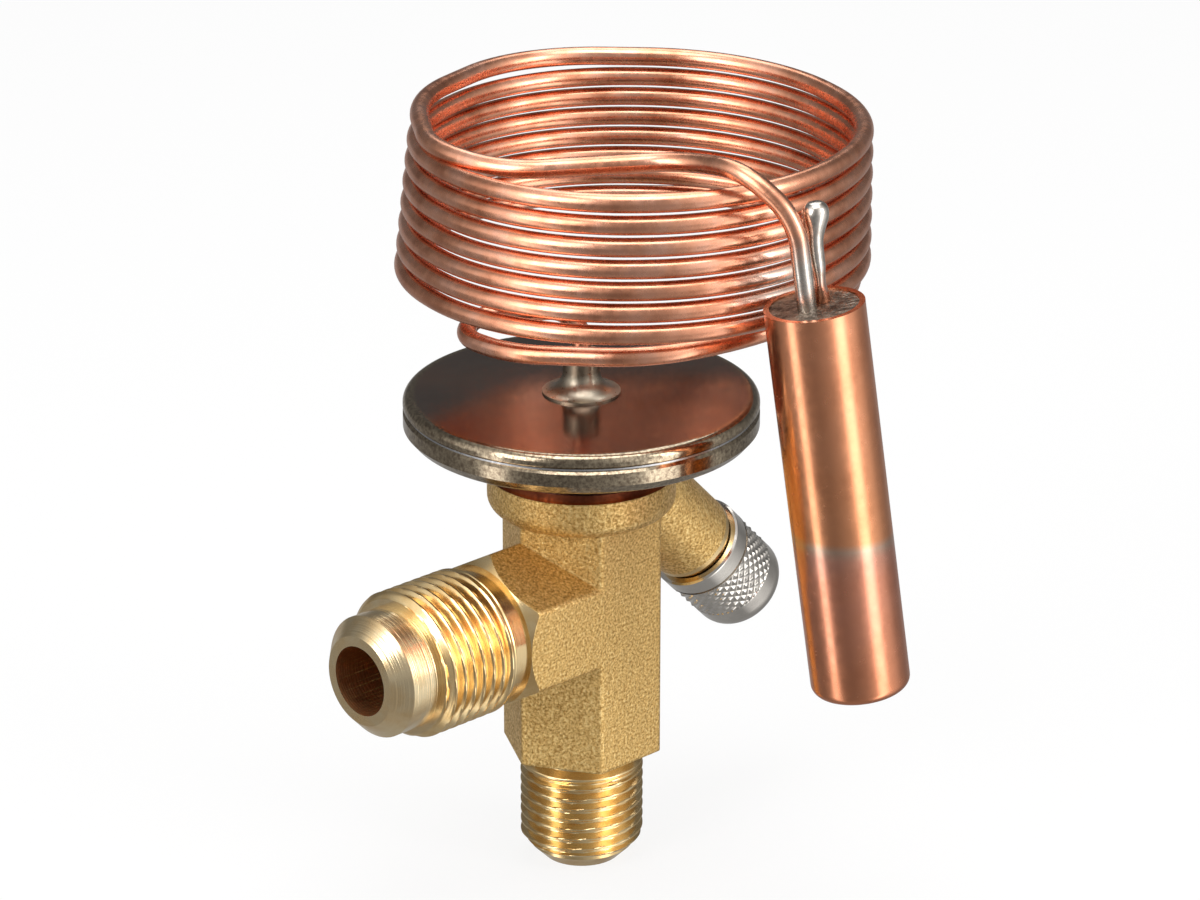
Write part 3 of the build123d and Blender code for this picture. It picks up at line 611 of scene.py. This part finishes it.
def threaded_sleeve(name, thread, place):
    """A fitting's thread as a helical surface that runs in from a chamfer and out at a relief."""
    around, along_step = 144, 0.09
    tall = 0.6134 * thread["pitch"]
    root = thread["radius"] - tall
    runout_end = thread["end"] + thread["root_runout"]
    steps = round((runout_end - thread["start"]) / along_step)
    rings = []
    for step in range(steps + 1):
        along = thread["start"] + (runout_end - thread["start"]) * step / steps
        ceiling = min(
            thread["radius"],
            thread["radius"] - thread["chamfer"] + (along - thread["start"]),
            thread["relief"] + max(0.0, runout_end - along),
        )
        filled = max(0.0, (along - thread["end"] + 1.2) / 1.2)
        ring = []
        for turn in range(around):
            angle = 2 * math.pi * turn / around
            phase = (along / thread["pitch"] - turn / around) % 1.0
            cut = root + thread_height(phase, thread["pitch"])
            radius = min(ceiling, cut + filled * (thread["radius"] - cut))
            ring.append(place @ Vector((
                radius * MM * math.cos(angle), radius * MM * math.sin(angle), along * MM
            )))
        rings.append(ring)
    mesh = wrapped_surface(name, rings)
    return mesh


def radius_about(point, place):
    """A point's distance from a fitting's axis and its place along it, in millimetres."""
    local = place.inverted() @ point
    return math.hypot(local.x, local.y) / MM, local.z / MM


def cut_thread(shaped, thread, place):
    """Take a plain thread's cylinder, chamfer and run-out off a mesh, where the sleeve goes."""
    runout_end = thread["end"] + thread["root_runout"]
    doomed = []
    for face in shaped.faces:
        radii, alongs = zip(*(radius_about(corner.co, place) for corner in face.verts))
        inside = min(alongs) > thread["start"] - 0.01 and max(alongs) < runout_end + 0.05
        on_thread = min(radii) > thread["relief"] - 0.05 and max(alongs) > thread["start"] + 0.05
        if inside and on_thread:
            doomed.append(face)
    bmesh.ops.delete(shaped, geom=doomed, context="FACES")


branch_lean = math.radians(45)
branch_apex = Vector((0, 0, 58.0 * MM))
branch_direction = Vector((math.sin(branch_lean), 0, -math.cos(branch_lean)))
branch_machined_from = 26.9
branch_clear_of_column = 15
branch_reach = 7.5
boss_face = -17.35
boss_chamfer_end = -15.6
column_foot = 15.65
collar_top = 53.35
bore_reach = 8.2
outlet_bore_reach = 4.62
outlet_bore_shown = 18.3


def is_machined(centre, normal):
    """Which faces of the body were cut after forging: the fittings, bores and joint faces."""
    along = (centre - branch_apex).dot(branch_direction) / MM
    off_branch = ((centre - branch_apex) - branch_direction * along * MM).length / MM
    x, z = centre.x / MM, centre.z / MM
    if x < boss_face or z < column_foot or z > collar_top:
        return True
    if x < boss_chamfer_end and normal.x < -0.3:
        return True
    if along > branch_machined_from and off_branch < 7.0:
        return True
    return math.hypot(centre.x, centre.y) / MM < bore_reach and z > 16.0 and normal.dot(
        Vector((centre.x, centre.y, 0))
    ) < 0


def body_finish(centre, normal):
    """The slot of a face's finish: forged, turned below, turned at the side, flare, or its bore,
    whose brass is darkened with painted shade.
    """
    if not is_machined(centre, normal):
        return 0
    off_axis, along = radius_about(centre, outlet_frame)
    # Slot 4 is the bore, in brass darkened with painted shade.
    if off_axis < outlet_bore_reach and along < outlet_bore_shown:
        return 4
    if along < outlet_thread["start"]:
        return 3
    return 2 if centre.x / MM < boss_chamfer_end else 1


def cut_across_branch(shaped):
    """Split the branch's faces where its machined end starts, so that the line is clean."""
    near = []
    for face in shaped.faces:
        offset = face.calc_center_median() - branch_apex
        along = offset.dot(branch_direction)
        off_branch = (offset - branch_direction * along).length
        if along > branch_clear_of_column * MM and off_branch < branch_reach * MM:
            near.append(face)
    geometry = near + list({edge for face in near for edge in face.edges})
    geometry += list({corner for face in near for corner in face.verts})
    bmesh.ops.bisect_plane(
        shaped, geom=geometry, dist=0.0005 * MM,
        plane_co=branch_apex + branch_direction * branch_machined_from * MM,
        plane_no=branch_direction,
    )


def make_body():
    """The body as forged and machined: the CAD solid with real threads in place of plain ones."""
    mesh = nodes["valve_body"].data.copy()
    mesh.name = "forged_body"
    mesh.materials.clear()
    for material in (FORGED, TURNED, TURNED_SIDE, FLARE, BORE_BRASS_PAINTED_SHADE):
        mesh.materials.append(material)
    shaped = bmesh.new()
    shaped.from_mesh(mesh)
    bmesh.ops.remove_doubles(shaped, verts=shaped.verts, dist=0.0005 * MM)
    cut_thread(shaped, inlet_thread, inlet_frame)
    cut_thread(shaped, outlet_thread, outlet_frame)
    cut_across_branch(shaped)
    for face in shaped.faces:
        face.material_index = body_finish(face.calc_center_median(), face.normal)
    shaped.to_mesh(mesh)
    shaped.free()
    smooth_mesh(mesh, 24)
    body = link_piece("forged_body", mesh, "housing")
    for name, thread, place, material in (
        ("inlet_thread_turns", inlet_thread, inlet_frame, TURNED),
        ("outlet_thread_turns", outlet_thread, outlet_frame, TURNED_SIDE),
    ):
        turns = threaded_sleeve(name, thread, place)
        turns.materials.append(material)
        smooth_mesh(turns, 35)
        link_piece(name, turns, "housing")
    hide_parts("valve_body")


make_body()

# ------------------------------------------------------------------ knurled cap
cap_start = 28.7
cap_end = 42.2
cap_radius = 6.42
cap_bore = 5.05
cap_band_end = 31.2
cap_groove = 0.35
cap_knurl_from = 31.75
cap_knurl_to = 37.6
cap_roof = 36.6
cap_relief_radius = 3.4
cap_relief_end = 39.6
knurl_around = 28
knurl_row = 1.38
knurl_depth = 0.26
cap_shoulder = 6.30
cap_rounding = 2.6
edge_gap = 0.001


def cap_profile(along):
    """The cap's plain outside radius at a distance along the branch."""
    if along < cap_start + 0.25:
        return cap_radius - 0.25 + (along - cap_start)
    if cap_band_end <= along <= cap_band_end + cap_groove:
        return cap_radius - 0.3
    if along <= cap_knurl_to:
        return cap_radius
    into = along - (cap_end - cap_rounding)
    if into <= 0:
        return cap_shoulder
    return cap_shoulder - cap_rounding + math.sqrt(max(0.0, cap_rounding ** 2 - into ** 2))


def knurl_cut(along, turn):
    """Depth of the diamond knurl at a place: two crossing sets of V grooves."""
    if not cap_knurl_from <= along <= cap_knurl_to:
        return 0.0
    rows = (along - cap_knurl_from) / knurl_row
    depth = 0.0
    for side in (-1, 1):
        share = (rows + side * turn * knurl_around) % 1.0
        depth = max(depth, abs(share - 0.5) * 2)
    return knurl_depth * depth


def make_cap():
    """The seal cap: a plain band, a groove, a diamond knurl and a rounded crown."""
    across = Vector((0, 1, 0))
    upward = branch_direction.cross(across)
    around = knurl_around * 12
    places = []
    step = 0.115
    along = cap_start
    while along < cap_end - cap_rounding:
        places.append(along)
        along += step
    groove_end = cap_band_end + cap_groove
    places += [cap_band_end - edge_gap, cap_band_end, groove_end, groove_end + edge_gap]
    places += [
        cap_end - cap_rounding * (1 - math.sin(math.radians(angle))) for angle in range(0, 91, 6)
    ]
    places = sorted(set(places))
    rings = []

    def ring_at(distance, radius_of):
        ring = []
        for index in range(around):
            angle = 2 * math.pi * index / around
            radius = radius_of(index / around)
            spoke = across * math.cos(angle) + upward * math.sin(angle)
            ring.append(branch_apex + branch_direction * distance * MM + spoke * radius * MM)
        return ring

    inner = [
        (cap_relief_end, 0.01), (cap_relief_end, cap_relief_radius), (cap_roof, cap_relief_radius),
        (cap_roof, cap_bore), (cap_start, cap_bore),
    ]
    for distance, radius in inner:
        rings.append(ring_at(distance, lambda turn, radius=radius: radius))
    for distance in places:
        rings.append(ring_at(
            distance, lambda turn, d=distance: cap_profile(d) - knurl_cut(d, turn)
        ))
    rings.append(ring_at(cap_end, lambda turn: 0.01))
    mesh = wrapped_surface("knurled_cap", rings)
    mesh.materials.append(NICKEL)
    smooth_mesh(mesh, 32)
    cap = link_piece("knurled_cap", mesh, "cap")
    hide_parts("seal_cap")


make_cap()

# ------------------------------------------------------------------ charging tube
bulb_lean = math.radians(7.56)
coil_bearing = math.radians(-43.7)
bulb_up = Vector((
    -math.sin(bulb_lean) * math.cos(coil_bearing), -math.sin(bulb_lean) * math.sin(coil_bearing),
    math.cos(bulb_lean),
))
cad_bead_radius = 1.55
cad_bead_height = 12.5
fill_tube_around = 32
fill_tube_parts = 4
# Height over the plug, shift to the picture's right, radius across the picture and along it
fill_tube_rings = [
    (0.0, 0.0, 1.05, 1.05), (1.45, 0.0, 1.05, 1.05), (2.4, 0.0, 0.94, 1.10),
    (3.6, 0.0, 0.74, 1.20), (4.8, 0.02, 0.78, 1.16), (6.0, 0.02, 0.92, 1.08),
    (7.4, -0.04, 1.00, 1.04), (8.8, -0.04, 1.03, 1.03), (9.8, 0.08, 1.12, 1.10),
    (10.8, 0.24, 1.34, 1.32), (11.7, 0.38, 1.56, 1.54), (12.5, 0.46, 1.66, 1.64),
    (13.2, 0.50, 1.56, 1.54), (13.7, 0.52, 1.26, 1.24), (14.0, 0.53, 0.82, 0.80),
    (14.12, 0.54, 0.01, 0.01),
]


def eased(values, share):
    """A smooth curve through four values, between the middle two."""
    before, start, end, after = values
    return 0.5 * (
        2 * start + (end - before) * share
        + (2 * before - 5 * start + 4 * end - after) * share ** 2
        + (3 * start - before - 3 * end + after) * share ** 3
    )


def make_fill_tube():
    """The charging tube: pinched near its foot, a little bent, closed by a drop of tin."""
    low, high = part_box("fill_tube")
    reach = cad_bead_radius * MM
    bead = Vector((low[0] + reach, high[1] - reach, high[2] - reach))
    foot = bead - bulb_up * cad_bead_height * MM
    side = Vector(to_its_right)
    side = (side - bulb_up * side.dot(bulb_up)).normalized()
    depth = bulb_up.cross(side)
    rows = fill_tube_rings
    start = foot + bulb_up * rows[0][0] * MM + side * rows[0][1] * MM
    rings = [[start] * fill_tube_around]
    for index in range(len(rows) - 1):
        four = [
            rows[max(0, index - 1)], rows[index], rows[index + 1],
            rows[min(len(rows) - 1, index + 2)],
        ]
        for part in range(fill_tube_parts):
            share = part / fill_tube_parts
            height, shift, wide, deep = (eased(values, share) for values in zip(*four))
            ring = []
            for turn in range(fill_tube_around):
                angle = 2 * math.pi * turn / fill_tube_around
                ring.append(
                    foot + bulb_up * height * MM + side * (shift + wide * math.cos(angle)) * MM
                    + depth * deep * math.sin(angle) * MM
                )
            rings.append(ring)
    mesh = wrapped_surface("pinched_fill_tube", rings)
    mesh.materials.append(copper("fill_tube_tinned", 0.22, tuple(bead), 10.5))
    smooth_mesh(mesh, 60)
    tube = link_piece("pinched_fill_tube", mesh, "housing")
    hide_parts("fill_tube")


make_fill_tube()
